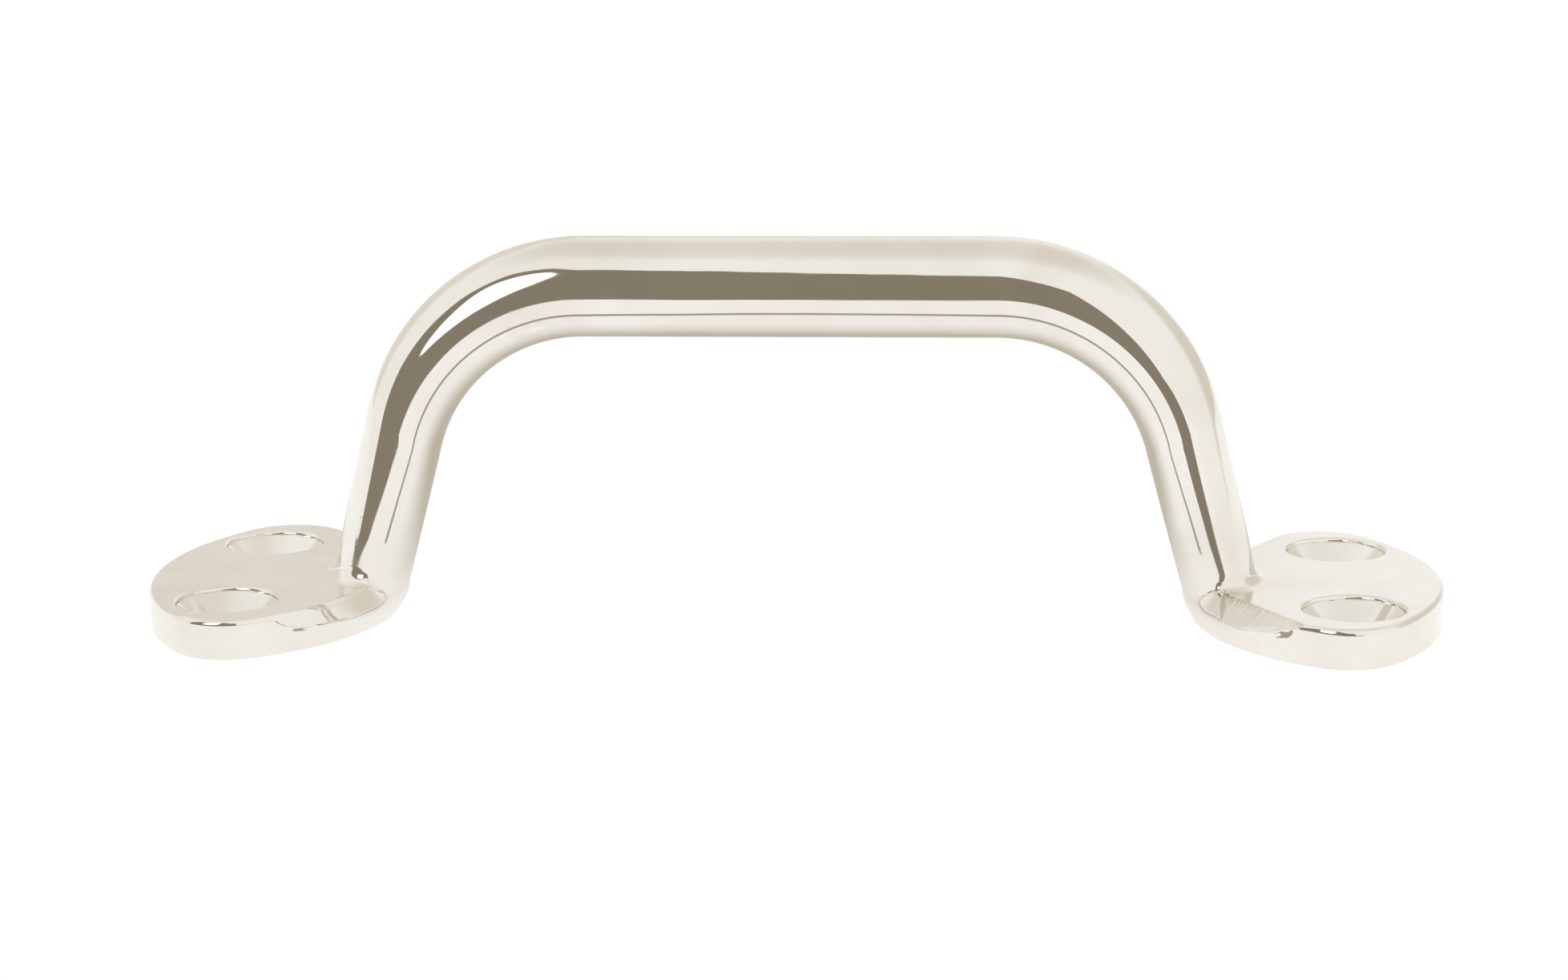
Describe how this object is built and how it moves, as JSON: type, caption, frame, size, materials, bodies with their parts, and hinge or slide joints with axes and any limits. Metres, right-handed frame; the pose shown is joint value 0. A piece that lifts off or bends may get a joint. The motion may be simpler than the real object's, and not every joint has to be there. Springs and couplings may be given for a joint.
{
  "type": "grab rail",
  "caption": "Polished cast grab rail: a round bar bent down at its ends onto oval feet with countersunk screw holes, fixed to a flat deck or bulkhead as a handhold.",
  "frame": {"origin": "on the mounting face, midway between the feet", "axes": "+X along the grip to the right foot, +Y across the feet to the back, +Z away from the mounting face"},
  "size_m": [0.164, 0.0512, 0.0483],
  "materials": {
    "polished_nickel": "mirror-polished, warm nickel tone"
  },
  "bodies": {
    "root": {"grip_bar": "polished_nickel", "left_bend": "polished_nickel", "right_bend": "polished_nickel", "left_leg": "polished_nickel", "right_leg": "polished_nickel", "left_foot": "polished_nickel", "right_foot": "polished_nickel"}
  },
  "joints": []
}
